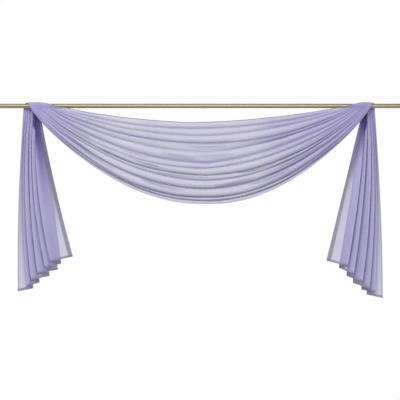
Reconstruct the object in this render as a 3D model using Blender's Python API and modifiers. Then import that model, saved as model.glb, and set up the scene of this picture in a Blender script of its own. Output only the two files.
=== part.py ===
"""A sheer swag with two tails, hung over a plain round rod.

The cloth is one long piece of voile, cut as a trapezium. It passes over the rod twice: the
stretch between hangs in front as the swag, and the two ends hang behind as pleated tails.
Its shape is worked out from fold lines, the ridges and hollows that run the whole length of
the cloth. Each line has a place in the middle of the swag, on the rod, and at each hem.

Metres, +Z up, +X to the right, the front towards -Y. The origin is on the rod's axis, at the
middle of its length.
"""

import math
from collections import namedtuple

import bmesh
import bpy
from mathutils import Vector

# The rod, a plain round pole with a small bevel at each end.
ROD_RADIUS = 0.014
ROD_LENGTH = 2.6
ROD_SIDES = 32
ROD_BEVEL = 0.002

# The cloth over the rod: its hollows lie just clear of the rod, and its ridges stand above it.
CLOTH_THICKNESS = 0.0012
HOLLOW_RADIUS = ROD_RADIUS + 0.0042
RIDGE_RADIUS = ROD_RADIUS + 0.010

# The swag is deepest a little to the right of the rod's middle.
SWAG_MIDDLE_X = 0.035
SWAG_FALL_POWER = 2.05
KINK_WIDTH = 0.13

# A fold line in the middle of the swag: how far it is below the rod's axis and in front of it,
# how far it dips into a soft kink there, and how far it strays sideways from the plain curve,
# halfway along the left and right halves (up is positive).
FoldLine = namedtuple("FoldLine", "drop out kink stray_left stray_right")
FOLD_LINES = (
    FoldLine(drop=0.101, out=0.012, kink=0.000, stray_left=0.000, stray_right=0.010),
    FoldLine(drop=0.119, out=0.036, kink=0.000, stray_left=-0.003, stray_right=0.008),
    FoldLine(drop=0.141, out=0.013, kink=0.000, stray_left=-0.006, stray_right=0.006),
    FoldLine(drop=0.161, out=0.041, kink=0.001, stray_left=-0.004, stray_right=0.008),
    FoldLine(drop=0.186, out=0.016, kink=0.002, stray_left=-0.002, stray_right=0.011),
    FoldLine(drop=0.203, out=0.048, kink=0.003, stray_left=-0.002, stray_right=0.006),
    FoldLine(drop=0.232, out=0.017, kink=0.005, stray_left=-0.002, stray_right=-0.002),
    FoldLine(drop=0.252, out=0.051, kink=0.004, stray_left=0.000, stray_right=0.005),
    FoldLine(drop=0.287, out=0.022, kink=0.003, stray_left=0.003, stray_right=0.018),
    FoldLine(drop=0.309, out=0.056, kink=0.004, stray_left=0.002, stray_right=0.019),
    FoldLine(drop=0.352, out=0.021, kink=0.006, stray_left=0.000, stray_right=0.020),
    FoldLine(drop=0.367, out=0.047, kink=0.005, stray_left=-0.004, stray_right=0.017),
    FoldLine(drop=0.386, out=0.022, kink=0.004, stray_left=-0.008, stray_right=0.014),
    FoldLine(drop=0.403, out=0.055, kink=0.004, stray_left=-0.006, stray_right=0.008),
    FoldLine(drop=0.429, out=0.018, kink=0.005, stray_left=-0.004, stray_right=0.000),
    FoldLine(drop=0.444, out=0.045, kink=0.004, stray_left=0.000, stray_right=0.002),
    FoldLine(drop=0.463, out=0.019, kink=0.003, stray_left=0.004, stray_right=0.004),
    FoldLine(drop=0.482, out=0.050, kink=0.003, stray_left=0.001, stray_right=0.004),
    FoldLine(drop=0.514, out=0.014, kink=0.004, stray_left=-0.004, stray_right=0.004),
    FoldLine(drop=0.536, out=0.044, kink=0.003, stray_left=-0.006, stray_right=0.002),
    FoldLine(drop=0.570, out=0.010, kink=0.002, stray_left=-0.010, stray_right=-0.002),
    FoldLine(drop=0.579, out=0.030, kink=0.001, stray_left=-0.008, stray_right=-0.003),
    FoldLine(drop=0.590, out=0.006, kink=0.000, stray_left=-0.005, stray_right=-0.005),
    FoldLine(drop=0.613, out=0.020, kink=0.000, stray_left=-0.006, stray_right=-0.008),
)
LAST_LINE = len(FOLD_LINES) - 1

# A pleat's fold at the hem of a tail, from the inner selvedge to the outer one: how far along
# the rod it is from the origin, how far behind the rod's axis and how far below it, and how far
# the fold bows to the right, halfway down the tail.
HemFold = namedtuple("HemFold", "x behind drop bow")
LEFT_HEM = (
    HemFold(x=-0.799, behind=0.020, drop=0.942, bow=-0.012),
    HemFold(x=-0.938, behind=0.002, drop=0.974, bow=-0.038),
    HemFold(x=-0.875, behind=0.036, drop=0.986, bow=0.010),
    HemFold(x=-0.971, behind=0.008, drop=1.013, bow=-0.040),
    HemFold(x=-0.896, behind=0.044, drop=1.024, bow=0.000),
    HemFold(x=-1.019, behind=0.012, drop=1.049, bow=-0.031),
    HemFold(x=-0.949, behind=0.050, drop=1.064, bow=0.000),
    HemFold(x=-1.059, behind=0.014, drop=1.090, bow=-0.033),
    HemFold(x=-1.012, behind=0.052, drop=1.106, bow=-0.002),
    HemFold(x=-1.086, behind=0.016, drop=1.128, bow=-0.025),
    HemFold(x=-1.052, behind=0.050, drop=1.143, bow=-0.004),
    HemFold(x=-1.146, behind=0.028, drop=1.161, bow=-0.014),
)
RIGHT_HEM = (
    HemFold(x=0.789, behind=0.024, drop=0.967, bow=0.001),
    HemFold(x=0.919, behind=0.000, drop=1.003, bow=0.019),
    HemFold(x=0.869, behind=0.040, drop=1.012, bow=0.000),
    HemFold(x=0.958, behind=0.006, drop=1.056, bow=0.021),
    HemFold(x=0.918, behind=0.048, drop=1.063, bow=0.000),
    HemFold(x=1.013, behind=0.010, drop=1.103, bow=0.030),
    HemFold(x=0.959, behind=0.054, drop=1.108, bow=0.000),
    HemFold(x=1.058, behind=0.012, drop=1.146, bow=0.027),
    HemFold(x=1.012, behind=0.054, drop=1.151, bow=0.003),
    HemFold(x=1.094, behind=0.016, drop=1.168, bow=0.018),
    HemFold(x=1.045, behind=0.052, drop=1.182, bow=0.003),
    HemFold(x=1.144, behind=0.026, drop=1.203, bow=0.012),
)

# One side of the drape: where the first and last fold lines cross the top of the rod and pass
# down its back, how full the swag's lowest edge hangs beside the rod, and the tail's folds at
# its hem.
Side = namedtuple("Side", "top_first top_last back_first back_last fullness hem stray")
LEFT = Side(-0.969, -1.082, -1.012, -1.107, 0.9, LEFT_HEM, "stray_left")
RIGHT = Side(0.987, 1.078, 1.022, 1.090, 0.8, RIGHT_HEM, "stray_right")

# Stations along the cloth, from the middle of the swag to a hem.
HANG_STATIONS = (0.0, 0.10, 0.21, 0.33, 0.45, 0.57, 0.69, 0.80, 0.90, 0.96)
WRAP_ANGLES = (90, 60, 30)
TAIL_STATIONS = (0.06, 0.15, 0.27, 0.40, 0.54, 0.68, 0.84, 1.0)
STEPS_PER_GAP = 2

CLOTH_COLOUR = (0.42, 0.37, 0.66, 1.0)
ROD_COLOUR = (0.40, 0.33, 0.21, 1.0)


def mix(first, last, share):
    return first + (last - first) * share


def ease(share):
    return share * share * (3 - 2 * share)


def rod_radius(line, degrees):
    """How far the line is from the rod's axis, at this angle from the rod's top.

    Towards the front every odd line is a ridge. Towards the back every second ridge sinks, so
    that two of the swag's ridges become one pleat of the tail. The bunch is lower near its two
    selvedges.
    """
    front = line % 2
    back = (1 + math.sin(math.pi * line / 2)) / 2
    height = mix(front, back, ease(max(0, -degrees) / 90))
    edge = abs(2 * line / LAST_LINE - 1)
    return mix(HOLLOW_RADIUS, RIDGE_RADIUS, height * (1 - 0.6 * edge**3))


def curve_x(side, line, fallen):
    """Where the line is along the rod, once it has fallen this share of its whole drop."""
    across = line / LAST_LINE
    left_over = max(0.0, 1 - fallen)
    power = SWAG_FALL_POWER + side.fullness * across * left_over**3
    start = mix(side.top_first, side.top_last, across)
    return mix(SWAG_MIDDLE_X, start, left_over ** (1 / power))


def wrap_point(side, line, degrees):
    """On the rod: 0 degrees is its top, 90 is its front, and -90 is its back."""
    across = line / LAST_LINE
    radius = rod_radius(line, degrees)
    turn = math.radians(degrees)
    up = radius * math.cos(turn)
    top_x = mix(side.top_first, side.top_last, across)
    if degrees >= 0:
        x = curve_x(side, line, (radius - up) / (radius + FOLD_LINES[line].drop))
    else:
        x = mix(top_x, mix(side.back_first, side.back_last, across), math.sin(-turn))
    return Vector((x, -radius * math.sin(turn), up))


def hang_point(side, line, along):
    """In the swag: along is 0 at its middle and 1 at the front of the rod."""
    fold = FOLD_LINES[line]
    radius = rod_radius(line, 90)
    on_rod = radius / (radius + fold.drop)
    fallen = mix(on_rod, 1.0, 1 - along**SWAG_FALL_POWER)
    height = radius - (radius + fold.drop) * fallen
    height += getattr(fold, side.stray) * math.sin(math.pi * along)
    height -= fold.kink * (math.exp(-along / KINK_WIDTH) - math.exp(-1 / KINK_WIDTH))
    out = mix(fold.out, radius, along**3)
    return Vector((curve_x(side, line, fallen), -out, height))


def hem_fold(side, line):
    """The line's place at the hem. Lines between two pleats' folds are halfway along a panel."""
    position = max(0.0, (line - 1) / 2) if line > 2 else line / 3
    index = min(int(position), len(side.hem) - 2)
    first, last = side.hem[index], side.hem[index + 1]
    return HemFold(*(mix(a, b, position - index) for a, b in zip(first, last)))


def tail_point(side, line, down):
    """In a tail: down is 0 at the back of the rod and 1 at the hem."""
    fold = hem_fold(side, line)
    start = wrap_point(side, line, -90)
    x = mix(start.x, fold.x, down) + 4 * fold.bow * down * (1 - down)
    behind = mix(start.y, fold.behind, ease(min(1.0, 4 * down)))
    return Vector((x, behind, -fold.drop * down))


def half_stations(side):
    """The places of every fold line at each station, from the swag's middle to the hem."""
    lines = range(LAST_LINE + 1)
    rows = [[hang_point(side, line, along) for line in lines] for along in HANG_STATIONS]
    for degrees in (*WRAP_ANGLES, 0, *(-angle for angle in reversed(WRAP_ANGLES))):
        rows.append([wrap_point(side, line, degrees) for line in lines])
    rows += [[tail_point(side, line, down) for line in lines] for down in TAIL_STATIONS]
    return rows


def across_cloth(points, step):
    """A point on the smooth curve through one station's fold lines, step by step across it."""
    line, part = divmod(step, STEPS_PER_GAP)
    if part == 0:
        return points[line]
    share = part / STEPS_PER_GAP
    before, after = points[max(line - 1, 0)], points[min(line + 2, LAST_LINE)]
    first, last = points[line], points[line + 1]
    leaving, arriving = (last - before) / 2, (after - first) / 2
    return (
        first.lerp(last, ease(share))
        + leaving * (share * (1 - share) ** 2)
        - arriving * (share * share * (1 - share))
    )


def material(name, colour, roughness, metallic):
    made = bpy.data.materials.new(name)
    made.use_nodes = True
    shader = made.node_tree.nodes["Principled BSDF"]
    shader.inputs["Base Color"].default_value = colour
    shader.inputs["Roughness"].default_value = roughness
    shader.inputs["Metallic"].default_value = metallic
    return made


def add_object(name, shape, collection, finish):
    mesh = bpy.data.meshes.new(name)
    shape.to_mesh(mesh)
    shape.free()
    mesh.materials.append(finish)
    made = bpy.data.objects.new(name, mesh)
    collection.objects.link(made)
    return made


def make_rod(collection):
    """A round pole along X, with plain bevelled ends."""
    shape = bmesh.new()
    bmesh.ops.create_cone(
        shape,
        cap_ends=True,
        segments=ROD_SIDES,
        radius1=ROD_RADIUS,
        radius2=ROD_RADIUS,
        depth=ROD_LENGTH,
    )
    rod = add_object("rod", shape, collection, material("rod", ROD_COLOUR, 0.35, 1.0))
    rod.rotation_euler = (0, math.pi / 2, 0)
    bevel = rod.modifiers.new("end bevel", "BEVEL")
    bevel.width = ROD_BEVEL
    bevel.segments = 2
    bevel.limit_method = "ANGLE"
    rod.data.shade_smooth()
    rod.data.set_sharp_from_angle(angle=math.radians(40))
    return rod


def make_scarf(collection):
    """The whole cloth: a flat grid moved onto the fold lines, then given its thickness."""
    left, right = half_stations(LEFT), half_stations(RIGHT)
    stations = left[:0:-1] + right
    columns = len(stations) - 1
    steps = LAST_LINE * STEPS_PER_GAP
    shape = bmesh.new()
    bmesh.ops.create_grid(shape, x_segments=columns, y_segments=steps, size=0.5)
    for vertex in shape.verts:
        station = round((vertex.co.x + 0.5) * columns)
        step = round((0.5 - vertex.co.y) * steps)
        vertex.co = across_cloth(stations[station], step)
    bmesh.ops.recalc_face_normals(shape, faces=shape.faces)
    finish = material("voile", CLOTH_COLOUR, 0.8, 0.0)
    scarf = add_object("scarf", shape, collection, finish)
    thickness = scarf.modifiers.new("thickness", "SOLIDIFY")
    thickness.thickness = CLOTH_THICKNESS
    thickness.offset = 0.0
    thickness.use_even_offset = True
    thickness.use_quality_normals = True
    scarf.data.shade_smooth()
    return scarf


def main():
    for old in list(bpy.data.objects):
        bpy.data.objects.remove(old, do_unlink=True)
    collection = bpy.data.collections.new("swag_and_tails_on_rod")
    bpy.context.scene.collection.children.link(collection)
    make_rod(collection)
    make_scarf(collection)


main()
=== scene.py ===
"""Looks of a sheer swag and tail drape on a round curtain rod.

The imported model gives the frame: a plain rod and a plain faceted cloth. Here the cloth is made
again as one fine sheet of lilac voile with its gathers, creases and turned hems, and the rod as a
drawn tube of champagne brass. All sizes are in metres, +Z is up and the front faces -Y.
"""

from __future__ import annotations

import logging
from collections.abc import Callable
from dataclasses import dataclass, field
from enum import Enum
from functools import partial

import bpy
import numpy as np
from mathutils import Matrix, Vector


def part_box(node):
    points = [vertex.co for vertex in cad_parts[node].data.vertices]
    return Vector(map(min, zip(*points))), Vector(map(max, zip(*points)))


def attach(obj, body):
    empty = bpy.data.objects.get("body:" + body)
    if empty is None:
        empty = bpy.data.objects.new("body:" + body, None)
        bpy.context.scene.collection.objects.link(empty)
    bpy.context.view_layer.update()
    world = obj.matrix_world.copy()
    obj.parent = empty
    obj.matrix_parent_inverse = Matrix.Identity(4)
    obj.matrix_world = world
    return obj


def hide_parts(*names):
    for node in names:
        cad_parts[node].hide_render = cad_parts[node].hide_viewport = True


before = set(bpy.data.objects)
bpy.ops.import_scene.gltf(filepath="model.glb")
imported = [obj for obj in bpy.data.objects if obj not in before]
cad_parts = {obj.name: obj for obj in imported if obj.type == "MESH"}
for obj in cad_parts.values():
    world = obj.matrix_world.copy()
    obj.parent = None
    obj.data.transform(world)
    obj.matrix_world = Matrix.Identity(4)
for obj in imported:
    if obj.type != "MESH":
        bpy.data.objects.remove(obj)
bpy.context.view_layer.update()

log = logging.getLogger("drape")

Numbers = np.ndarray | float
Socket = bpy.types.NodeSocket


# Small numeric helpers


def mix(first: Numbers, last: Numbers, share: Numbers) -> Numbers:
    """Straight line from first, at share 0, to last, at share 1."""
    return first + (last - first) * share


def ease(share: Numbers) -> Numbers:
    """Smooth step 3s^2 - 2s^3 of a share between 0 and 1."""
    return share * share * (3 - 2 * share)


def smooth_step(value: np.ndarray, low: float, high: float) -> np.ndarray:
    """Smooth step of value, 0 below low and 1 above high."""
    return ease(np.clip((value - low) / (high - low), 0, 1))


def column(rows: tuple, name: str) -> np.ndarray:
    """One named column of a table of dataclass rows, as an array."""
    return np.array([getattr(row, name) for row in rows], float)


def unit(vectors: np.ndarray) -> np.ndarray:
    """Vectors of length one along the last axis."""
    return vectors / np.maximum(np.linalg.norm(vectors, axis=-1, keepdims=True), 1e-12)


def grid_normals(points: np.ndarray) -> np.ndarray:
    """Unit normals of a grid of points, from the cross product of its two sets of tangents.

    Args:
        points: Positions, rows by columns by 3.

    Returns:
        Normals of the same shape, along (column tangent) x (row tangent).
    """
    along = np.gradient(points, axis=0)
    across = np.gradient(points, axis=1)
    return unit(np.cross(across, along))


def run_lengths(points: np.ndarray, axis: int) -> np.ndarray:
    """Distance run along one axis of a grid of points, from 0 at its first row or column."""
    steps = np.linalg.norm(np.diff(points, axis=axis), axis=-1)
    start = np.zeros_like(np.take(steps, [0], axis=axis))
    return np.cumsum(np.concatenate([start, steps], axis=axis), axis=axis)


def quads(corner: np.ndarray) -> np.ndarray:
    """The quads between a grid of corner numbers, one quad a row, wound so that they face the
    way that grid_normals points."""
    around = [corner[:-1, :-1], corner[:-1, 1:], corner[1:, 1:], corner[1:, :-1]]
    return np.stack(around, axis=-1).reshape(-1, 4)


# The frame's sizes


@dataclass(frozen=True)
class RodSize:
    """The rod as the frame gives it."""

    radius: float
    left: float
    right: float

    @classmethod
    def from_frame(cls) -> RodSize:
        """Reads the rod's radius and its two ends from its box in the frame."""
        low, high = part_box("rod")
        return cls(radius=(high.z - low.z) / 2, left=low.x, right=high.x)


ROD = RodSize.from_frame()


# Finishes


class NodeSheet:
    """A material's node tree, with short calls that add and join nodes."""

    def __init__(self, name: str) -> None:
        """Starts a material of that name with one Principled node.

        Args:
            name: The material's name.
        """
        self.material = bpy.data.materials.new(name)
        self.material.use_nodes = True
        self.tree = self.material.node_tree
        self.shader = self.tree.nodes["Principled BSDF"]

    def set(self, **values: object) -> None:
        """Sets the Principled node's own sockets, with underscores for the spaces in names."""
        for name, value in values.items():
            self.shader.inputs[name.replace("_", " ")].default_value = value

    def node(self, kind: str, **settings: object) -> bpy.types.Node:
        """Adds a node.

        Args:
            kind: The node's type, without the leading ShaderNode.
            settings: Its properties, and its sockets by name with underscores for spaces.

        Returns:
            The new node.
        """
        made = self.tree.nodes.new("ShaderNode" + kind)
        for name, value in settings.items():
            if hasattr(made, name):
                setattr(made, name, value)
            else:
                made.inputs[name.replace("_", " ")].default_value = value
        return made

    def join(self, source: Socket, target: Socket) -> None:
        """Links an output to an input."""
        self.tree.links.new(source, target)

    def math(self, operation: str, *operands: object) -> Socket:
        """A Math node's output; each operand is a number or another node's output."""
        made = self.node("Math", operation=operation)
        for socket, value in zip(made.inputs, operands):
            if isinstance(value, Socket):
                self.join(value, socket)
            else:
                socket.default_value = value
        return made.outputs["Value"]

    def attribute(self, name: str) -> Socket:
        """The number that a piece's own attribute holds."""
        return self.node("Attribute", attribute_name=name).outputs["Fac"]

    def mixed(self, share: Socket, first: Socket, last: tuple) -> Socket:
        """A colour between another node's colour, at share 0, and a fixed one, at share 1."""
        made = self.node("Mix", data_type="RGBA")
        colours = [socket for socket in made.inputs if socket.type == "RGBA"]
        self.join(share, made.inputs[0])
        self.join(first, colours[0])
        colours[1].default_value = (*last, 1.0)
        return next(socket for socket in made.outputs if socket.type == "RGBA")

    def blend_colours(self, share: Socket, first: tuple, last: tuple) -> Socket:
        """A colour between first, at share 0, and last, at share 1."""
        ramp = self.node("ValToRGB")
        ramp.color_ramp.elements[0].color = (*first, 1.0)
        ramp.color_ramp.elements[1].color = (*last, 1.0)
        self.join(share, ramp.inputs["Fac"])
        return ramp.outputs["Color"]


@dataclass(frozen=True)
class VoileFinish:
    """Sheer polyester voile: how much one layer covers, its colours, the painted light and painted
    shade over them, and its threads.
    """

    name: str = "lilac_voile"
    cover: float = 0.60
    single_colour: tuple = (0.30, 0.28, 0.47)
    dense_colour: tuple = (0.385, 0.345, 0.60)
    # Lighter lilac painted as light on the tails' pleat folds and on the gathers' tops.
    painted_light_colour: tuple = (0.48, 0.45, 0.70)
    hem_colour: tuple = (0.235, 0.22, 0.32)
    # Dark violet painted as shade in fold hollows, creases and cast shadows, how strongly, and how
    # many more layers go with it.
    painted_shade_colour: tuple = (0.06, 0.04, 0.19)
    painted_shade_strength: float = 0.28
    cover_per_shade: float = 1.6
    thread_pitch: float = 0.0011
    thread_strength: float = 0.15
    thread_height: float = 0.0002
    unevenness: float = 0.3
    roughness: float = 0.72
    sheen: float = 0.25
    sheen_roughness: float = 0.45

    def make(self) -> bpy.types.Material:
        """Builds the material on the cloth's own UV map and attributes."""
        sheet = NodeSheet(self.name)
        uv = sheet.node("UVMap", uv_map="cloth").outputs["UV"]
        sheet.join(self.shade(sheet), sheet.shader.inputs["Base Color"])
        sheet.join(self.weave(sheet, uv), sheet.shader.inputs["Normal"])
        sheet.join(self.covered(sheet, uv), sheet.shader.inputs["Alpha"])
        sheet.set(Roughness=self.roughness, Sheen_Weight=self.sheen)
        sheet.set(Sheen_Roughness=self.sheen_roughness)
        return sheet.material

    def shade(self, sheet: NodeSheet) -> Socket:
        """The colour: thin cloth's to dense cloth's, then over it the light painted on the pleat
        folds, the hems' colour and the shade painted in folds and shadows."""
        dense = sheet.math("MULTIPLY", sheet.math("SUBTRACT", sheet.attribute("layers"), 1.0), 0.5)
        colour = sheet.blend_colours(dense, self.single_colour, self.dense_colour)
        # Painted light: lighter lilac where light is painted on the tails' pleat folds and the
        # gathers' tops.
        colour = sheet.mixed(sheet.attribute("pleat"), colour, self.painted_light_colour)
        colour = sheet.mixed(sheet.attribute("hem"), colour, self.hem_colour)
        # Painted shade: dark violet where shade is painted in fold hollows and creases and shadows
        # are painted on the tails.
        depth = sheet.math("MULTIPLY", sheet.attribute("painted_shade"), self.painted_shade_strength)
        return sheet.mixed(depth, colour, self.painted_shade_colour)

    def weave(self, sheet: NodeSheet, uv: Socket) -> Socket:
        """The bump of the crossing threads: one sine wave each way, multiplied."""
        split = sheet.node("SeparateXYZ")
        sheet.join(uv, split.inputs["Vector"])
        turns = 2 * np.pi / self.thread_pitch
        warp, weft = (
            sheet.math("SINE", sheet.math("MULTIPLY", split.outputs[way], turns)) for way in "XY"
        )
        bump = sheet.node("Bump", Strength=self.thread_strength, Distance=self.thread_height)
        sheet.join(sheet.math("MULTIPLY", warp, weft), bump.inputs["Height"])
        return bump.outputs["Normal"]

    def covered(self, sheet: NodeSheet, uv: Socket) -> Socket:
        """How much the cloth covers of what is behind it.

        One layer lets through 1 - cover, and where the sheet stands for n layers it lets
        through that share to the power n. More of them are counted where shade is painted, and
        noise along the threads makes them a little uneven.
        """
        more = sheet.math("MULTIPLY", sheet.attribute("painted_shade"), self.cover_per_shade)
        count = sheet.math("MULTIPLY", sheet.attribute("layers"), sheet.math("ADD", more, 1.0))
        slub = sheet.node("TexNoise", Scale=60.0, Detail=2.0)
        stretch = sheet.node("Mapping", Scale=(0.25, 6.0, 1.0))
        sheet.join(uv, stretch.inputs["Vector"])
        sheet.join(stretch.outputs["Vector"], slub.inputs["Vector"])
        thinnest = 1 - self.unevenness / 2
        uneven = sheet.math("MULTIPLY_ADD", slub.outputs["Fac"], self.unevenness, thinnest)
        clear = sheet.math("POWER", 1 - self.cover, sheet.math("MULTIPLY", count, uneven))
        return sheet.math("SUBTRACT", 1.0, clear)


@dataclass(frozen=True)
class BrassFinish:
    """Drawn brass with a satin champagne lacquer."""

    name: str = "champagne_brass"
    colour: tuple = (0.40, 0.345, 0.25)
    dark_colour: tuple = (0.37, 0.32, 0.23)
    roughness: float = 0.46

    def make(self) -> bpy.types.Material:
        """Builds the material: fine draw lines run along the rod, with a slight mottle."""
        sheet = NodeSheet(self.name)
        place = sheet.node("TexCoord").outputs["Object"]
        stretch = sheet.node("Mapping", Scale=(2.0, 420.0, 420.0))
        sheet.join(place, stretch.inputs["Vector"])
        lines = sheet.node("TexNoise", Scale=1.0, Detail=2.0, Roughness=0.6)
        sheet.join(stretch.outputs["Vector"], lines.inputs["Vector"])
        mottle = sheet.node("TexNoise", Scale=14.0, Detail=4.0)
        sheet.join(place, mottle.inputs["Vector"])
        half = sheet.math("MULTIPLY", mottle.outputs["Fac"], 0.5)
        share = sheet.math("MULTIPLY_ADD", lines.outputs["Fac"], 0.5, half)
        colour = sheet.blend_colours(share, self.dark_colour, self.colour)
        sheet.join(colour, sheet.shader.inputs["Base Color"])
        bump = sheet.node("Bump", Strength=0.02, Distance=0.0001)
        sheet.join(lines.outputs["Fac"], bump.inputs["Height"])
        sheet.join(bump.outputs["Normal"], sheet.shader.inputs["Normal"])
        sheet.set(Metallic=0.95, Roughness=self.roughness)
        return sheet.material


@dataclass(frozen=True)
class PaperFinish:
    """Plain pale paper for the floor."""

    name: str = "pale_floor"
    colour: tuple = (0.86, 0.86, 0.85)

    def make(self) -> bpy.types.Material:
        """Builds the material."""
        sheet = NodeSheet(self.name)
        sheet.set(Base_Color=(*self.colour, 1.0), Roughness=0.9)
        return sheet.material


# Pieces


def make_piece(
    name: str, points: np.ndarray, faces: list[np.ndarray], finish: bpy.types.Material
) -> bpy.types.Object:
    """Makes a smooth-shaded mesh object at the origin.

    Args:
        name: The piece's name.
        points: Corner positions, n by 3.
        faces: Corner numbers, one array for faces of each number of corners.
        finish: Its material.

    Returns:
        The new object, linked to the scene.
    """
    corners = np.concatenate([block.ravel() for block in faces]).astype(np.int32)
    sizes = np.concatenate([np.full(len(block), block.shape[1]) for block in faces])
    starts = np.concatenate([[0], np.cumsum(sizes)[:-1]]).astype(np.int32)
    mesh = bpy.data.meshes.new(name)
    mesh.vertices.add(len(points))
    mesh.vertices.foreach_set("co", points.astype(np.float32).ravel())
    mesh.loops.add(len(corners))
    mesh.loops.foreach_set("vertex_index", corners)
    mesh.polygons.add(len(sizes))
    mesh.polygons.foreach_set("loop_start", starts)
    mesh.polygons.foreach_set("use_smooth", np.ones(len(sizes), bool))
    mesh.update(calc_edges=True)
    mesh.validate()
    mesh.materials.append(finish)
    made = bpy.data.objects.new(name, mesh)
    bpy.context.scene.collection.objects.link(made)
    return made


def add_uv(mesh: bpy.types.Mesh, name: str, places: np.ndarray) -> None:
    """Gives the mesh a UV map from one place for each of its points.

    Args:
        mesh: The mesh.
        name: The map's name.
        places: Places, n by 2.
    """
    layer = mesh.uv_layers.new(name=name)
    corners = np.zeros(len(mesh.loops), np.int32)
    mesh.loops.foreach_get("vertex_index", corners)
    layer.data.foreach_set("uv", places[corners].astype(np.float32).ravel())


def add_attribute(mesh: bpy.types.Mesh, name: str, values: np.ndarray) -> None:
    """Gives the mesh a named number at each of its points."""
    made = mesh.attributes.new(name, "FLOAT", "POINT")
    made.data.foreach_set("value", values.astype(np.float32).ravel())


@dataclass(frozen=True)
class FoldLine:
    """A ridge or hollow that runs the length of the cloth, as it is mid-swag: its drop below the
    rod's axis, how far out in front it is, its soft kink, and how far it strays from the plain
    curve halfway along each side."""

    drop: float
    out: float
    kink: float
    stray_left: float
    stray_right: float


@dataclass(frozen=True)
class Ridge:
    """A ridge of the cloth: its share of the way from the hollow above it to the one below, and
    how far out in front it stands."""

    share: float
    out: float

    def between(self, above: FoldLine, below: FoldLine) -> FoldLine:
        """The ridge's fold line: its two hollows' values mixed by its share, to a millimetre."""
        names = ("drop", "kink", "stray_left", "stray_right")
        ends = ((getattr(above, name), getattr(below, name)) for name in names)
        mixed = (round(mix(*pair, self.share), 3) for pair in ends)
        return FoldLine(out=self.out, **dict(zip(names, mixed)))


@dataclass(frozen=True)
class Hollow:
    """How sharply the cloth folds in at a hollow of the swag, in its left half, at its middle
    and in its right half: 0 is flat and 1 a full crease. The same share sets how much shade is
    painted in the hollow. The hollows are fold lines 2, 4, 6..."""

    left: float
    middle: float
    right: float


@dataclass(frozen=True)
class Crease:
    """A short soft crease in the swag, from one place along the cloth to another, with its place
    among the fold lines at each end, its depth, and its half width in gaps. Shade is painted
    along it as deep as it is."""

    start: float
    end: float
    first: float
    last: float
    depth: float = 0.004
    width: float = 0.30


@dataclass(frozen=True)
class HemFold:
    """A pleat's fold at the hem of a tail: its place along the rod, how far it is behind the
    rod's axis and how far below it, and how far the fold bows to the right halfway down."""

    x: float
    behind: float
    drop: float
    bow: float


class Flank(Enum):
    """The two sides of the drape, as the viewer sees them."""

    LEFT = "left"
    RIGHT = "right"


@dataclass(frozen=True)
class Side:
    """One side of the drape: where its first and last fold lines cross the top and the back of
    the rod, how full the lowest edge hangs, the share of the tail down which the swag's shadow
    is painted, and the tail's folds at its hem."""

    flank: Flank
    top_first: float
    top_last: float
    back_first: float
    back_last: float
    fullness: float
    shaded: float
    hem: tuple


# drop, out, kink, stray_left, stray_right
HOLLOW_LINES = (
    FoldLine(0.101, 0.012, 0.000, 0.000, 0.010),
    FoldLine(0.141, 0.013, 0.000, -0.006, 0.006),
    FoldLine(0.186, 0.016, 0.002, -0.002, 0.011),
    FoldLine(0.232, 0.017, 0.005, -0.002, -0.002),
    FoldLine(0.287, 0.022, 0.003, 0.003, 0.018),
    FoldLine(0.352, 0.021, 0.006, 0.000, 0.020),
    FoldLine(0.386, 0.022, 0.004, -0.008, 0.014),
    FoldLine(0.429, 0.018, 0.005, -0.004, 0.000),
    FoldLine(0.463, 0.019, 0.003, 0.004, 0.004),
    FoldLine(0.514, 0.014, 0.004, -0.004, 0.004),
    FoldLine(0.570, 0.010, 0.002, -0.010, -0.002),
    FoldLine(0.590, 0.006, 0.000, -0.005, -0.005),
)
# share, out
RIDGES = (
    Ridge(0.45, 0.036),
    Ridge(0.45, 0.041),
    Ridge(0.38, 0.048),
    Ridge(0.36, 0.051),
    Ridge(0.34, 0.056),
    Ridge(0.45, 0.047),
    Ridge(0.40, 0.055),
    Ridge(0.45, 0.045),
    Ridge(0.38, 0.050),
    Ridge(0.40, 0.044),
    Ridge(0.45, 0.030),
)
LOWER_EDGE = FoldLine(0.613, 0.020, 0.000, -0.006, -0.008)


def fold_lines() -> tuple[FoldLine, ...]:
    """Every fold line from the upper edge to the lower one, hollows and ridges in turn."""
    pairs = zip(HOLLOW_LINES, HOLLOW_LINES[1:])
    ridges = (ridge.between(*pair) for ridge, pair in zip(RIDGES, pairs))
    turns = (line for pair in zip(HOLLOW_LINES, ridges) for line in pair)
    return (*turns, HOLLOW_LINES[-1], LOWER_EDGE)


FOLD_LINES = fold_lines()
LAST_LINE = len(FOLD_LINES) - 1

# left, middle, right
HOLLOWS = (
    Hollow(0.4, 0.5, 0.3),
    Hollow(0.3, 0.4, 0.2),
    Hollow(0.6, 0.7, 0.6),
    Hollow(0.5, 0.2, 0.5),
    Hollow(0.6, 0.6, 0.3),
    Hollow(0.3, 0.5, 0.5),
    Hollow(0.8, 0.8, 0.8),
    Hollow(0.4, 0.6, 0.9),
    Hollow(0.8, 0.9, 0.8),
    Hollow(0.9, 1.2, 0.9),
    Hollow(0.9, 1.0, 1.4),
)

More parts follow.
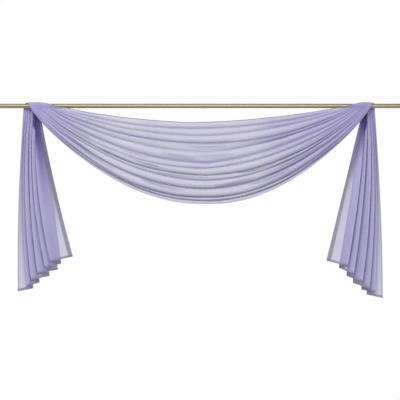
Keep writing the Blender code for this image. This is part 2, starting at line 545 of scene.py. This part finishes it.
# start, end, first, last
CREASES = (
    Crease(-0.97, -0.80, 7.4, 8.4),
    Crease(-0.92, -0.70, 10.6, 11.4),
    Crease(-0.94, -0.66, 17.0, 17.8),
    Crease(-0.74, -0.52, 18.4, 18.9),
    Crease(-0.62, -0.40, 13.8, 14.3, depth=0.003),
    Crease(-0.56, -0.38, 20.7, 21.1, depth=0.007),
    Crease(-0.52, -0.34, 10.5, 10.8),
    Crease(-0.50, -0.28, 12.7, 13.0),
    Crease(-0.38, -0.12, 18.5, 18.9, depth=0.005),
    Crease(-0.30, 0.04, 15.3, 15.0),
    Crease(-0.28, -0.06, 9.2, 9.4, depth=0.003),
    Crease(-0.12, 0.14, 7.1, 7.2, depth=0.003),
    Crease(-0.08, 0.18, 9.0, 9.2, depth=0.003),
    Crease(0.05, 0.30, 17.6, 17.4, depth=0.003),
    Crease(0.20, 0.44, 14.3, 14.9, depth=0.006),
    Crease(0.26, 0.52, 18.6, 19.0, depth=0.006),
    Crease(0.45, 0.72, 17.1, 17.4),
    Crease(0.52, 0.76, 21.0, 21.4),
    Crease(0.60, 0.86, 12.8, 13.4),
    Crease(0.70, 0.93, 18.6, 18.9),
)

# x, behind, drop, bow
LEFT_HEM = (
    HemFold(-0.799, 0.020, 0.942, -0.012),
    HemFold(-0.938, 0.002, 0.974, -0.038),
    HemFold(-0.875, 0.036, 0.986, 0.010),
    HemFold(-0.971, 0.008, 1.013, -0.040),
    HemFold(-0.896, 0.044, 1.024, 0.000),
    HemFold(-1.019, 0.012, 1.049, -0.031),
    HemFold(-0.949, 0.050, 1.064, 0.000),
    HemFold(-1.059, 0.014, 1.090, -0.033),
    HemFold(-1.012, 0.052, 1.106, -0.002),
    HemFold(-1.086, 0.016, 1.128, -0.025),
    HemFold(-1.052, 0.050, 1.143, -0.004),
    HemFold(-1.146, 0.028, 1.161, -0.014),
)
RIGHT_HEM = (
    HemFold(0.789, 0.024, 0.967, 0.001),
    HemFold(0.919, 0.000, 1.003, 0.019),
    HemFold(0.869, 0.040, 1.012, 0.000),
    HemFold(0.958, 0.006, 1.056, 0.021),
    HemFold(0.918, 0.048, 1.063, 0.000),
    HemFold(1.013, 0.010, 1.103, 0.030),
    HemFold(0.959, 0.054, 1.108, 0.000),
    HemFold(1.058, 0.012, 1.146, 0.027),
    HemFold(1.012, 0.054, 1.151, 0.003),
    HemFold(1.094, 0.016, 1.168, 0.018),
    HemFold(1.045, 0.052, 1.182, 0.003),
    HemFold(1.144, 0.026, 1.203, 0.012),
)

# The places along the cloth between which the swag's narrow side hems widen into the tails'.
TAIL_START = (1.8, 2.3)

LEFT = Side(Flank.LEFT, -0.969, -1.082, -1.012, -1.107, 0.9, 0.90, LEFT_HEM)
RIGHT = Side(Flank.RIGHT, 0.987, 1.078, 1.022, 1.090, 0.8, 0.54, RIGHT_HEM)


@dataclass
class FoldSurface:
    """The cloth's shape without its fine gathers: each fold line followed from the middle of the
    swag over the rod to the hem of a tail."""

    hollow_radius: float = ROD.radius + 0.0042
    ridge_radius: float = ROD.radius + 0.010
    middle_x: float = 0.035
    fall_power: float = 2.05
    kink_width: float = 0.13
    hang_rows: int = 108
    wrap_rows: int = 24
    tail_rows: int = 74
    tail_crowding: float = 1.25
    steps_per_gap: int = 10
    # Half widths, in gaps, of the shade painted below and above each swag hollow.
    hollow_width: float = 0.20
    upper_width: float = 0.36
    # Strength of the swag's shadow painted on the tails' inner folds.
    swag_shadow_strength: float = 4.2
    # Painted shadows on the tails: beside each pleat's front fold, how wide, behind a pleat, and at
    # the outermost fold.
    contact_shade: float = 2.3
    contact_width: float = 0.010
    hidden_shade: float = 0.1
    last_shade: float = 0.25
    # Painted light on the tails: its share on a whole panel, on the doubled cloth beside the inner
    # selvedge, and the width of the painted highlight at each crest.
    panel_light: float = 0.50
    front_light: float = 0.9
    crest_width: float = 0.014
    waver_height: float = 0.0008
    # The crease depth that gives full painted shade in a crease.
    crease_shade_depth: float = 0.008
    shallowest: float = 0.5

    def rod_radius(self, degrees: np.ndarray) -> np.ndarray:
        """Distance from the rod's axis of every line at angles from the rod's top.

        Towards the front each odd line is a ridge. Towards the back every second ridge sinks:
        the height there is (1 + sin(line * pi / 2)) / 2, so two ridges become one pleat.

        Args:
            degrees: Angles, one a row; 90 is the rod's front and -90 its back.

        Returns:
            Radii, rows by lines.
        """
        line = np.arange(LAST_LINE + 1)
        front = (line % 2).astype(float)
        back = (1 + np.sin(np.pi * line / 2)) / 2
        turned = ease(np.clip(-degrees, 0, 90) / 90)[:, None]
        edge = np.abs(2 * line / LAST_LINE - 1)
        height = mix(front, back, turned) * (1 - 0.6 * edge**3)
        return mix(self.hollow_radius, self.ridge_radius, height)

    def curve_x(self, side: Side, fallen: np.ndarray) -> np.ndarray:
        """Place along the rod of every line, once it has fallen a share of its whole drop.

        It is the inverse of drop = D (1 - t^p): t is what is left of the fall to the power
        1/p, and t runs from the swag's middle to the line's place on top of the rod.
        """
        across = np.arange(LAST_LINE + 1) / LAST_LINE
        left_over = np.clip(1 - fallen, 0, 1)
        power = self.fall_power + side.fullness * across * left_over**3
        start = mix(side.top_first, side.top_last, across)
        return mix(self.middle_x, start, left_over ** (1 / power))

    def hang(self, side: Side, along: np.ndarray) -> np.ndarray:
        """Every line in the swag: along is 0 at its middle and 1 at the front of the rod."""
        drop, out, kink = (column(FOLD_LINES, name) for name in ("drop", "out", "kink"))
        stray = column(FOLD_LINES, "stray_" + side.flank.value)
        along = along[:, None]
        radius = self.rod_radius(np.full(1, 90.0))
        fallen = mix(radius / (radius + drop), 1.0, 1 - along**self.fall_power)
        height = radius - (radius + drop) * fallen + stray * np.sin(np.pi * along)
        height -= kink * (np.exp(-along / self.kink_width) - np.exp(-1 / self.kink_width))
        front = mix(out, radius, along**3)
        return np.stack([self.curve_x(side, fallen), -front, height], axis=-1)

    def wrap(self, side: Side, degrees: np.ndarray) -> np.ndarray:
        """Every line on the rod, at angles from its top."""
        line = np.arange(LAST_LINE + 1)
        drop = column(FOLD_LINES, "drop")
        radius = self.rod_radius(degrees)
        turn = np.radians(degrees)[:, None]
        up = radius * np.cos(turn)
        before = self.curve_x(side, (radius - up) / (radius + drop))
        across = line / LAST_LINE
        top = mix(side.top_first, side.top_last, across)
        back = mix(side.back_first, side.back_last, across)
        behind = mix(top, back, np.sin(np.clip(-turn, 0, None)))
        x = np.where(turn >= 0, before, behind)
        return np.stack([x, -radius * np.sin(turn), up], axis=-1)

    def hem_folds(self, side: Side) -> np.ndarray:
        """Every line's place and bow at the hem, lines by 4. Lines between folds are halfway."""
        line = np.arange(LAST_LINE + 1)
        position = np.where(line > 2, (line - 1) / 2, line / 3)
        folds = np.arange(len(side.hem))
        names = ("x", "behind", "drop", "bow")
        return np.stack([np.interp(position, folds, column(side.hem, n)) for n in names], axis=-1)

    def tail(self, side: Side, down: np.ndarray) -> np.ndarray:
        """Every line in a tail: down is 0 at the back of the rod and 1 at the hem."""
        hem_x, hem_behind, hem_drop, bow = self.hem_folds(side).T
        start = self.wrap(side, np.full(1, -90.0))[0]
        down = down[:, None]
        behind = mix(start[:, 1], hem_behind, ease(np.clip(4 * down, 0, 1)))
        x = mix(start[:, 0], hem_x, down) + 4 * bow * down * (1 - down)
        return np.stack([x, behind, -hem_drop * down], axis=-1)

    def half(self, side: Side) -> tuple[np.ndarray, np.ndarray]:
        """Every line from the swag's middle to the hem, rows by lines by 3, and each row's place:
        0 to 1 in the swag, to 2 on the rod and to 3 in the tail."""
        along = np.linspace(0, 1, self.hang_rows, endpoint=False)
        over = np.linspace(0, 1, self.wrap_rows, endpoint=False)
        degrees = np.linspace(90, -90, self.wrap_rows, endpoint=False)
        down = np.linspace(0, 1, self.tail_rows) ** self.tail_crowding
        lines = [self.hang(side, along), self.wrap(side, degrees), self.tail(side, down)]
        return np.concatenate(lines), np.concatenate([along, 1 + over, 2 + down])

    def across(self, lines: np.ndarray, place: np.ndarray) -> np.ndarray:
        """Smooth curves through every row's fold lines, in small steps across the cloth.

        Between two lines it is the cubic p1 + (p2 - p1) e(s) + m1 s (1 - s)^2 - m2 s^2 (1 - s),
        where e is the smooth step and each tangent m is half the way between neighbours. In the
        swag the cloth bellies out between sharp hollows instead: there the way to the front
        goes as sin(s pi / 2) from a hollow to a ridge, and as cos(s pi / 2) back to a hollow.

        Args:
            lines: Every row's fold lines, rows by lines by 3.
            place: Every row's place along the cloth.

        Returns:
            Positions, rows by columns by 3.
        """
        step = self.line_steps()
        line = np.minimum(step.astype(int), LAST_LINE - 1)
        share = step - line
        part = share[None, :, None]
        before = lines[:, np.maximum(line - 1, 0)]
        first, last = lines[:, line], lines[:, line + 1]
        after = lines[:, np.minimum(line + 2, LAST_LINE)]
        curve = mix(first, last, ease(part))
        curve += (last - before) / 2 * part * (1 - part) ** 2
        curve -= (after - first) / 2 * part**2 * (1 - part)
        quarter = np.pi / 2 * share
        belly = np.where(line % 2 == 0, np.sin(quarter), 1 - np.cos(quarter))
        front = mix(first[..., 1], last[..., 1], belly)
        mean = (first[..., 1] + last[..., 1]) / 2
        sharp = np.clip(self.sharpness(place), 0, 1)
        front = mix(mean, front, mix(self.shallowest, 1.0, sharp))
        bellied = 1 - smooth_step(np.abs(place), 0.8, 1.0)
        curve[..., 1] = mix(curve[..., 1], front, bellied[:, None])
        return curve

    def line_steps(self) -> np.ndarray:
        """The place of every column among the fold lines, from 0 to the last line's number."""
        return np.arange(LAST_LINE * self.steps_per_gap + 1) / self.steps_per_gap

    def sharpness(self, place: np.ndarray) -> np.ndarray:
        """How sharp each column's nearest hollow is, rows by columns.

        It goes smoothly from the middle to each half, and fades out at the gathers.
        """
        nearest = np.clip(np.round(self.line_steps() / 2).astype(int) - 1, 0, len(HOLLOWS) - 1)
        names = ("left", "middle", "right")
        left, middle, right = (column(HOLLOWS, name)[nearest] for name in names)
        side = np.where(place[:, None] < 0, left, right)
        out = np.abs(place)[:, None]
        return mix(middle, side, smooth_step(out, 0.0, 0.5)) * (1 - smooth_step(out, 0.75, 1.0))

    def crease_depth(self, place: np.ndarray) -> np.ndarray:
        """How deep the short creases are at each point.

        Each is depth sqrt(sin(pi t)) exp(-(d / width)^2): t is the share of the crease's length
        and d the distance from its middle in gaps.
        """
        line = self.line_steps()
        total = np.zeros((len(place), len(line)))
        for crease in CREASES:
            part = np.clip((place - crease.start) / (crease.end - crease.start), 0, 1)[:, None]
            apart = (line - mix(crease.first, crease.last, part)) / crease.width
            total += crease.depth * np.sqrt(np.sin(np.pi * part)) * np.exp(-(apart**2))
        return total

    def waver(self, place: np.ndarray) -> np.ndarray:
        """Slow unevenness of the cloth: three crossed sines, which die out at the gathers."""
        line = self.line_steps()
        along = place[:, None]
        wave = np.sin(9.0 * along + 1.9 * line) + np.sin(17.0 * along - 2.7 * line + 1.0)
        wave += 0.8 * np.sin(29.0 * along + 0.9 * line + 2.0)
        return self.waver_height * wave * (1 - smooth_step(np.abs(along), 0.7, 1.0))

    def beyond_fold(self, folds: np.ndarray, place: np.ndarray, ahead: int) -> np.ndarray:
        """How far outside a pleat's front fold each point of a tail is, rows by columns.

        Every fourth line from the fourth is a front fold.

        Args:
            folds: The folds, rows by columns by 3.
            place: Every row's place.
            ahead: 0 for the fold of the point's own pleat, 1 for that of the pleat before it.

        Returns:
            Distances away from the middle of the rod.
        """
        outward = folds[..., 0] * np.sign(place)[:, None]
        own = 4 * np.floor((self.line_steps() - 5) / 4) + 7 - 4 * ahead
        return outward - outward[:, (np.clip(own, 3, 19) * self.steps_per_gap).astype(int)]

    def tail_contact_shadows(self, folds: np.ndarray, place: np.ndarray) -> np.ndarray:
        """The shadow of the pleat before it, painted on each point of a tail: exp(-d / w) for a
        point that is d outside that pleat's front fold, and a little painted shade for one behind
        the pleat."""
        beyond = self.beyond_fold(folds, place, 1)
        shade = self.contact_shade * np.exp(-np.clip(beyond, 0, None) / self.contact_width)
        last = mix(1.0, self.last_shade, smooth_step(self.line_steps(), 20.5, 21.5))
        return np.where(beyond < 0, self.hidden_shade, shade) * last * (self.line_steps() > 5)

    def pleat_painted_light(self, folds: np.ndarray, place: np.ndarray) -> np.ndarray:
        """How much light is painted on each point of a tail's pleat folds: 1, a painted highlight,
        at the pleat's front fold, less away from it, and 0 in the single cloth along both
        selvedges."""
        line = self.line_steps()
        inside = np.clip(-self.beyond_fold(folds, place, 0), 0, None)
        lit = mix(self.panel_light, 1.0, np.exp(-inside / self.crest_width))
        outward = folds[..., 0] * np.sign(place)[:, None]
        doubled = smooth_step(outward - outward[:, 5 * self.steps_per_gap, None], 0.0, 0.006)
        within = np.where(line < 5, doubled * self.front_light, 1 - smooth_step(line, 20.0, 21.5))
        return lit * within * smooth_step(np.abs(place), 1.8, 2.2)[:, None]

    def swag_shade(self, place: np.ndarray) -> np.ndarray:
        """The swag's shadow, painted dark on the inner folds of each tail where its gathers lie
        over them.

        It fades out down the tail, first beside the selvedge and along the first front fold.
        """
        line = self.line_steps()
        down = (np.abs(place) - 2)[:, None]
        reach = np.where(place < 0, LEFT.shaded, RIGHT.shaded)[:, None]
        shade = smooth_step(down, -0.3, 0.0) * (1 - smooth_step(down, 0.0, reach))
        last = mix(7.5, 5.2, smooth_step(down, 0.08, 0.2))
        shade = shade * (1 - smooth_step(line - last, -0.7, 0.7)) * smooth_step(line, -0.5, 2.2)
        notch = np.exp(-(((line - 3.0) / 0.6) ** 2)) * smooth_step(down, 0.15, 0.4)
        return self.swag_shadow_strength * shade * (1 - notch)

    def painted_shades(self, folds: np.ndarray, place: np.ndarray) -> np.ndarray:
        """How much shade is painted at each point, from 0 on a ridge to 1 and more deep in a fold.

        In the swag it is shade painted in the hollows, exp(-(d / w)^2), d being the distance from
        the nearest hollow in gaps, and in the short creases. It reaches further up the cloth than
        down. In the tails it is the painted shadows of the pleat before and of the swag. The
        same values also add layers.

        Args:
            folds: The folds, rows by columns by 3.
            place: Every row's place.

        Returns:
            Painted shade, rows by columns.
        """
        line = self.line_steps()
        hollow = np.clip(2 * np.round(line / 2), 2, LAST_LINE - 1)
        width = np.where(line < hollow, self.upper_width, self.hollow_width)
        swag = np.exp(-(((line - hollow) / width) ** 2)) * self.sharpness(place)
        swag += self.crease_depth(place) / self.crease_shade_depth
        tail = self.tail_contact_shadows(folds, place) + self.swag_shade(place)
        return mix(swag, tail, smooth_step(np.abs(place), 1.2, 2.1)[:, None])

    def density(self, folds: np.ndarray, place: np.ndarray) -> np.ndarray:
        """How many times its own width of cloth lies in each part of a row.

        It is the width of cloth in a gap between columns over that gap's width in this row. The
        cloth is spread flat in the middle of the swag and at the hems, which give its width.

        Args:
            folds: The folds, rows by columns by 3.
            place: Every row's place.

        Returns:
            Ratios, rows by columns.
        """
        gaps = np.gradient(run_lengths(folds, axis=1), axis=1)
        swag = gaps[np.argmin(np.abs(place))]
        hem = np.where(place[:, None] < 0, gaps[0], gaps[-1])
        cut = mix(swag, hem, smooth_step(np.abs(place), 1.0, 2.0)[:, None])
        smoothing = np.hanning(self.steps_per_gap * 2 + 1)
        smoothing /= smoothing.sum()
        edge = self.steps_per_gap

        def smooth(values: np.ndarray) -> np.ndarray:
            """Running mean over a gap on each side."""
            padded = np.pad(values, ((0, 0), (edge, edge)), mode="edge")
            windows = np.lib.stride_tricks.sliding_window_view(padded, len(smoothing), axis=1)
            return windows @ smoothing

        return smooth(cut) / smooth(gaps)

    def whole(self) -> tuple[np.ndarray, np.ndarray]:
        """The cloth from the left hem to the right one.

        Returns:
            Positions, rows by columns by 3, and each row's place, negative on the left.
        """
        (left, place), (right, _) = self.half(LEFT), self.half(RIGHT)
        lines = np.concatenate([left[:0:-1], right])
        place = np.concatenate([-place[:0:-1], place])
        folds = self.across(lines, place)
        dent = self.waver(place) - self.crease_depth(place)
        return folds + grid_normals(folds) * dent[..., None], place


@dataclass
class Patch:
    """A grid of cloth: its points, and what the finish needs to know at each of them."""

    points: np.ndarray
    uv: np.ndarray
    layers: np.ndarray
    painted_shade: np.ndarray
    # Share of painted light on the tails' pleat folds and the gathers' tops.
    pleat: np.ndarray
    hem: np.ndarray

    def each(self, change: Callable[[np.ndarray], np.ndarray]) -> Patch:
        """The patch with the same change made to everything it knows."""
        return Patch(**{name: change(values) for name, values in vars(self).items()})

    def flip(self) -> Patch:
        """The same patch with its rows and columns exchanged."""
        return self.each(partial(np.swapaxes, axis1=0, axis2=1))

    def reverse(self) -> Patch:
        """The same patch with its columns from last to first."""
        return self.each(partial(np.flip, axis=1))


@dataclass
class Scarf:
    """The whole cloth: swag, gathers on the rod and both tails, cut from one length of voile."""

    surface: FoldSurface = field(default_factory=FoldSurface)
    finish: VoileFinish = field(default_factory=VoileFinish)
    cut_width: float = 1.0
    short_edge: float = 4.05
    long_edge: float = 5.07
    side_hem: float = 0.012
    tail_hem: float = 0.028
    upper_tail_hem: float = 0.034
    end_hem: float = 0.016
    swag_hem_shade: float = 0.35
    hem_gap: float = 0.0008
    hem_steps: int = 4
    hem_layers: float = 1.4
    outer_layers: float = 0.4
    gathers_per_gap: float = 2.0
    steepest_gather: float = 1.6
    calm: float = 0.9
    most_layers: float = 4.0
    pleat_layers: float = 0.8
    flap_layers: float = 0.8
    # How much light is painted on the tops of the gathers.
    knot_light: float = 0.45

    def gathered(self, points: np.ndarray, density: np.ndarray, place: np.ndarray) -> np.ndarray:
        """Adds the fine gathers that take up the cloth's spare width.

        The spare goes into small waves along the surface's normal: a wave of length w needs the
        height w/4 sqrt(r^2 - 1) to be r times as long.

        Args:
            points: The folds, rows by columns by 3.
            density: How many times its own width of cloth lies at each point.
            place: Every row's place. The waves are lower near the rod's front.

        Returns:
            The gathered cloth, of the same shape as points.
        """
        line = self.surface.line_steps()
        ratio = np.clip(density, 1.0, self.steepest_gather)
        gap = np.gradient(run_lengths(points, axis=1), axis=1) * self.surface.steps_per_gap
        wave = gap / self.gathers_per_gap
        phase = 0.9 * np.sin(1.7 * line) + 0.6 * np.sin(0.61 * line + 1.0)
        uneven = 0.75 + 0.25 * np.sin(2.3 * line + 0.7)
        calm = smooth_step(np.abs(place), 0.45, 0.8) * (1 - smooth_step(np.abs(place), 1.1, 1.6))
        height = wave / 4 * np.sqrt(ratio**2 - 1) * uneven * (1 - self.calm * calm[:, None])
        offset = height * np.sin(2 * np.pi * (self.gathers_per_gap * line + phase))
        return points - grid_normals(points) * offset[..., None]

    def main_patch(self, folds: np.ndarray, place: np.ndarray) -> Patch:
        """The cloth between its edges, with its gathers and the layers that it stands for.

        Args:
            folds: The folds, rows by columns by 3.
            place: Every row's place.

        Returns:
            The cloth without its hems.
        """
        density = self.surface.density(folds, place)
        points = self.gathered(folds, density, place)
        # Painted light on the tops of the gathers on the rod, added to the light painted on the
        # tails' pleat folds; it also adds layers there.
        knot = smooth_step(np.abs(place), 0.88, 1.05) * (1 - smooth_step(np.abs(place), 1.6, 1.9))
        pleat = self.surface.pleat_painted_light(folds, place) + self.knot_light * knot[:, None]
        layers = np.clip(density * (1 + self.pleat_layers * pleat), 1.0, self.most_layers)
        layers = layers * self.drift(place)[:, None]
        layers = mix(layers, self.flap_layers, self.flap(place))
        # Painted shade in the swag's folds and creases, and painted shadows on the tails.
        painted_shade = self.surface.painted_shades(folds, place)
        run = run_lengths(points[:, points.shape[1] // 2], axis=0)
        across = np.linspace(0, self.cut_width, points.shape[1])
        uv = np.stack(np.meshgrid(run, across, indexing="ij"), axis=-1)
        return Patch(points, uv, layers, painted_shade, pleat, self.hem_share(folds, place))

    def drift(self, place: np.ndarray) -> np.ndarray:
        """How the cloth's density strays from even: thinner on the left flank of the swag and
        denser on the right one, a share for every row."""
        left = smooth_step(-place, 0.3, 0.5) * (1 - smooth_step(-place, 0.65, 0.85))
        right = smooth_step(place, 0.3, 0.5) * (1 - smooth_step(place, 0.85, 1.0))
        return 1 - 0.18 * left + 0.38 * right

    def flap(self, place: np.ndarray) -> np.ndarray:
        """1 where the swag's edges lie in a single layer, else 0: along its upper edge where it
        crosses the rod, and along its lower edge as far as the gathers."""
        line = self.surface.line_steps()
        out = np.abs(place)[:, None]
        upper = smooth_step(out, 0.75, 0.9) * (1 - smooth_step(out, 1.02, 1.15))
        lower = 1 - smooth_step(out, 0.8, 1.0)
        return upper * (1 - smooth_step(line, 1.0, 3.5)) + lower * smooth_step(line, 22.0, 22.6)

    def side_widths(self, place: np.ndarray) -> np.ndarray:
        """How wide the side hems lie in every row: narrow in the swag, where they roll in, and
        wide in the tails, most of all just below the rod, where the edge is pulled flat."""
        tail = mix(self.upper_tail_hem, self.tail_hem, smooth_step(np.abs(place), 2.2, 2.9))
        return mix(self.side_hem, tail, smooth_step(np.abs(place), *TAIL_START))

    def hem_share(self, folds: np.ndarray, place: np.ndarray) -> np.ndarray:
        """1 where a tail's hem lies behind the cloth and 0 elsewhere, rows by columns. The outer
        selvedge's hem hardly shows."""
        across, along = run_lengths(folds, axis=1), run_lengths(folds, axis=0)
        inner = across / self.side_widths(place)[:, None]
        end = np.minimum(along, along[-1:] - along) / self.end_hem
        share = 1 - smooth_step(np.minimum(inner, end), 0.85, 1.1)
        return share * smooth_step(np.abs(place), *TAIL_START)[:, None]

    def turned_hem(self, cloth: Patch, widths: np.ndarray, count: float) -> Patch:
        """The strip of cloth turned back behind a patch's first column.

        Its points lie on the cloth at even distances from the edge, then a little behind it.

        Args:
            cloth: The cloth.
            widths: The strip's width in every row.
            count: How many layers it stands for.

        Returns:
            The strip, with as many rows as the cloth.
        """
        run = run_lengths(cloth.points, axis=1)
        wanted = widths[:, None] * np.linspace(0, 1, self.hem_steps + 1)
        before = np.clip((run[:, :, None] < wanted[:, None]).sum(axis=1) - 1, 0, run.shape[1] - 2)
        low, high = (np.take_along_axis(run, before + k, axis=1) for k in (0, 1))
        share = np.clip((wanted - low) / (high - low), 0, 1)
        sides = grid_normals(cloth.points)

        def at(values: np.ndarray) -> np.ndarray:
            """Values between columns, at every wanted distance."""
            deep = values if values.ndim == 3 else values[..., None]
            first, last = (np.take_along_axis(deep, before[..., None] + k, axis=1) for k in (0, 1))
            found = mix(first, last, share[..., None])
            return found if values.ndim == 3 else found[..., 0]

        lift = np.minimum(np.arange(self.hem_steps + 1), 1) * self.hem_gap
        points = at(cloth.points) - at(sides) * lift[None, :, None]
        layers = np.full(points.shape[:2], count)
        hem = np.maximum(at(cloth.hem), self.swag_hem_shade)
        return Patch(points, at(cloth.uv), layers, at(cloth.painted_shade), at(cloth.pleat), hem)

    def patches(self) -> list[Patch]:
        """The cloth and its four hems, each wound the same way."""
        folds, place = self.surface.whole()
        cloth = self.main_patch(folds, place)
        side, end = self.side_widths(place), np.full(folds.shape[1], self.end_hem)
        narrow, count = np.full(len(place), self.side_hem), self.hem_layers
        inner = self.turned_hem(cloth, side, count)
        outer = self.turned_hem(cloth.reverse(), narrow, self.outer_layers).reverse()
        left = self.turned_hem(cloth.flip(), end, count).flip()
        right = self.turned_hem(cloth.flip().reverse(), end, count).reverse().flip()
        return [cloth, inner, outer, left, right]

    def build(self) -> bpy.types.Object:
        patches = self.patches()
        starts = np.cumsum([0] + [patch.layers.size for patch in patches])
        faces = [
            quads(start + np.arange(patch.layers.size).reshape(patch.layers.shape))
            for patch, start in zip(patches, starts)
        ]

        def joined(name: str, width: int) -> np.ndarray:
            """One thing that every patch knows, in one array."""
            return np.concatenate([getattr(patch, name).reshape(-1, width) for patch in patches])

        made = make_piece("scarf_cloth", joined("points", 3), faces, self.finish.make())
        for name in ("layers", "painted_shade", "pleat", "hem"):
            add_attribute(made.data, name, joined(name, 1))
        add_uv(made.data, "cloth", joined("uv", 2))
        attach(made, "root")
        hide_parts("scarf")
        log.info("scarf: %d points in %d patches", len(made.data.vertices), len(patches))
        return made


@dataclass
class Rod:
    """The round curtain rod: a drawn tube with closed, slightly rounded ends."""

    finish: BrassFinish = field(default_factory=BrassFinish)
    sides: int = 96
    rounding: float = 0.003
    rounding_steps: int = 5
    length_steps: int = 60

    def profile(self) -> tuple[np.ndarray, np.ndarray]:
        """The rod's outline from the middle of its left end to the middle of its right end.

        Each end is a flat disc, then a quarter circle whose radius is the rounding.

        Returns:
            Places along the rod, and the radius at each.
        """
        turn = np.linspace(0, np.pi / 2, self.rounding_steps)
        inset = self.rounding * (1 - np.sin(turn))
        reach = ROD.radius - self.rounding * (1 - np.cos(turn[::-1]))
        flat = np.array([0.35, 0.7]) * (ROD.radius - self.rounding)
        left = np.concatenate([np.full(2, ROD.left), ROD.left + inset[::-1]])
        middle = np.linspace(left[-1], ROD.right - self.rounding, self.length_steps)[1:-1]
        right = (ROD.left + ROD.right) - left[::-1]
        radius = np.concatenate([flat, reach[::-1]])
        return (np.concatenate([left, middle, right]),
                np.concatenate([radius, np.full(len(middle), ROD.radius), radius[::-1]]))

    def build(self) -> bpy.types.Object:
        """Makes the rod: its outline turned round the axis, closed with a fan at each end."""
        along, radius = self.profile()
        turn = np.linspace(0, 2 * np.pi, self.sides, endpoint=False)
        ring = np.stack([np.zeros(self.sides), -np.sin(turn), np.cos(turn)], axis=-1)
        points = radius[:, None, None] * ring
        points[..., 0] = along[:, None]
        ends = np.array([[ROD.left, 0, 0], [ROD.right, 0, 0]])
        corner = np.arange(points.shape[0] * self.sides).reshape(-1, self.sides)
        corner = np.concatenate([corner, corner[:, :1]], axis=1)
        count = points.shape[0] * self.sides
        fans = [
            np.stack([corner[0, 1:], corner[0, :-1], np.full(self.sides, count)], axis=-1),
            np.stack([corner[-1, :-1], corner[-1, 1:], np.full(self.sides, count + 1)], axis=-1),
        ]
        points = np.concatenate([points.reshape(-1, 3), ends])
        faces = [quads(corner), np.concatenate(fans)]
        made = make_piece("rod_tube", points, faces, self.finish.make())
        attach(made, "root")
        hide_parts("rod")
        log.info("rod: %.0f mm across", 2000 * ROD.radius)
        return made


# The studio


@dataclass
class Studio:
    """Pale floor, soft white surroundings, the lamps and the camera."""

    view_width: float = 2.5
    view_middle: tuple = (-0.003, -0.5877)
    camera_distance: float = 8.0
    sensor: float = 36.0
    floor_drop: float = 2.4
    white: float = 1.0
    ambient: float = 0.56
    reflected: float = 0.40

    def build_camera(self) -> None:
        """A level camera square to the rod, at the height of the drape's middle."""
        data = bpy.data.cameras.new("camera")
        data.sensor_width = self.sensor
        data.lens = self.sensor * self.camera_distance / self.view_width
        data.clip_end = 60.0
        camera = bpy.data.objects.new("camera", data)
        camera.location = (self.view_middle[0], -self.camera_distance, self.view_middle[1])
        camera.rotation_euler = (np.pi / 2, 0.0, 0.0)
        bpy.context.scene.collection.objects.link(camera)
        bpy.context.scene.camera = camera

    def build_world(self) -> None:
        """White to the eye, an even softer light on the drape, and dimmer in reflections."""
        world = bpy.data.worlds.new("studio")
        world.use_nodes = True
        bpy.context.scene.world = world
        tree = world.node_tree
        background = tree.nodes["Background"]
        background.inputs["Color"].default_value = (1.0, 1.0, 1.0, 1.0)
        path = tree.nodes.new("ShaderNodeLightPath")
        soft, seen = (tree.nodes.new("ShaderNodeMix") for _ in range(2))
        tree.links.new(path.outputs["Is Glossy Ray"], soft.inputs["Factor"])
        soft.inputs["A"].default_value = self.ambient
        soft.inputs["B"].default_value = self.reflected
        tree.links.new(path.outputs["Is Camera Ray"], seen.inputs["Factor"])
        tree.links.new(soft.outputs["Result"], seen.inputs["A"])
        seen.inputs["B"].default_value = self.white
        tree.links.new(seen.outputs["Result"], background.inputs["Strength"])

    def build_lamp(self, name: str, place: tuple, power: float, size: tuple) -> None:
        """An oblong soft box that faces the middle of the drape."""
        data = bpy.data.lights.new(name, "AREA")
        data.shape = "RECTANGLE"
        data.energy = power
        data.size, data.size_y = size
        lamp = bpy.data.objects.new(name, data)
        lamp.location = place
        aim = Vector((self.view_middle[0], 0.0, self.view_middle[1])) - Vector(place)
        lamp.rotation_euler = aim.to_track_quat("-Z", "Y").to_euler()
        bpy.context.scene.collection.objects.link(lamp)

    def build_floor(self) -> None:
        """A pale floor below the tails."""
        half = 3.0
        corners = np.array([[-half, -half, 0], [half, -half, 0], [half, half, 0], [-half, half, 0]])
        corners[:, 2] = -self.floor_drop
        floor = make_piece("floor", corners, [np.array([[0, 1, 2, 3]])], PaperFinish().make())

    def build(self) -> None:
        """Sets the whole studio."""
        self.build_camera()
        self.build_world()
        self.build_lamp("key", (-0.6, -3.6, 2.1), 130.0, (5.0, 1.0))
        self.build_lamp("fill", (1.0, -4.6, -0.4), 26.0, (3.0, 2.0))
        self.build_floor()
        bpy.context.scene.view_settings.view_transform = "Standard"


def main() -> None:
    """Builds the rod, the scarf and the studio, in that order."""
    logging.basicConfig(level=logging.INFO, format="%(name)s: %(message)s")
    Rod().build()
    Scarf().build()
    Studio().build()
    bpy.context.view_layer.update()


if __name__ == "__main__":
    main()
